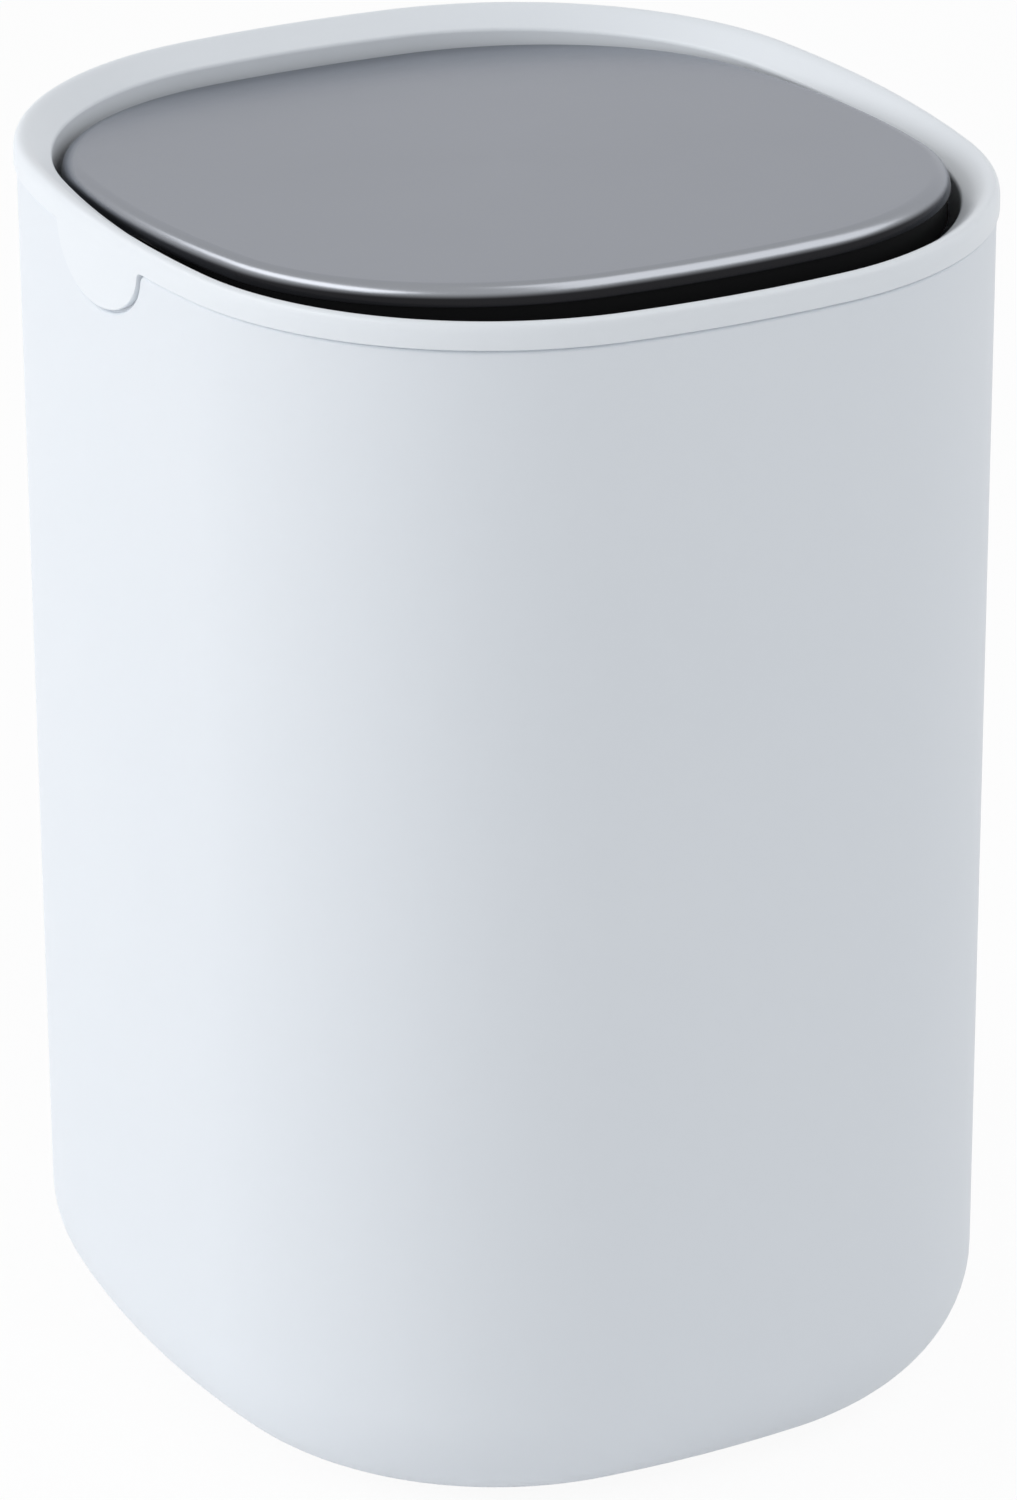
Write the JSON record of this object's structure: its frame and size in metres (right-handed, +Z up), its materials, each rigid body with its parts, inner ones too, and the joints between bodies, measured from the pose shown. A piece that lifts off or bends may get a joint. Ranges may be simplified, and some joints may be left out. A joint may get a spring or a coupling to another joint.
{
  "type": "swing-lid waste bin",
  "caption": "Small free-standing waste bin with rounded square sides, a lift-off lid ring with a lifting tab and a steel-topped flap that swings on side pins.",
  "frame": {"origin": "middle of the standing surface, under the foot pads", "axes": "+Z up; -Y to the front, where the flap's raised edge is; -X to the side with the lifting tab; the flap's pivot axis runs along X"},
  "size_m": [0.1882, 0.2082, 0.2747],
  "materials": {
    "white_body": "fine matte moulded plastic",
    "white_lid": "satin moulded plastic",
    "steel_cover": "fine brushed stainless steel",
    "black_carrier": "matte moulded plastic",
    "pale_bush": "natural acetal",
    "steel_pin": "turned steel",
    "steel_weight": "cut bar, plain",
    "steel_screw": "zinc plated",
    "tape": "double-sided tape",
    "grey_pad": "soft matte rubber"
  },
  "bodies": {
    "bin": {"bin_body": "white_body", "foot_pad_front_left": "grey_pad", "foot_pad_front_right": "grey_pad", "foot_pad_rear_left": "grey_pad", "foot_pad_rear_right": "grey_pad"},
    "lid": {"lid_ring": "white_lid", "pivot_pin_left": "steel_pin", "pivot_pin_right": "steel_pin"},
    "flap": {"flap_cover": "steel_cover", "flap_carrier": "black_carrier", "cover_tape_front": "tape", "cover_tape_rear": "tape", "pivot_bush_left": "pale_bush", "pivot_bush_right": "pale_bush", "counterweight": "steel_weight", "counterweight_cover": "black_carrier", "counterweight_screws": "steel_screw"}
  },
  "joints": [
    {"name": "lid_lift", "type": "slide", "parent": "bin", "child": "lid", "axis": [0, 0, 1], "range_m": [0, 0.12]},
    {"name": "flap_swing", "type": "hinge", "parent": "lid", "child": "flap", "pos_m": [0, 0, 0.2593], "axis": [1, 0, 0], "range_deg": [-76.4, 83.6]}
  ]
}
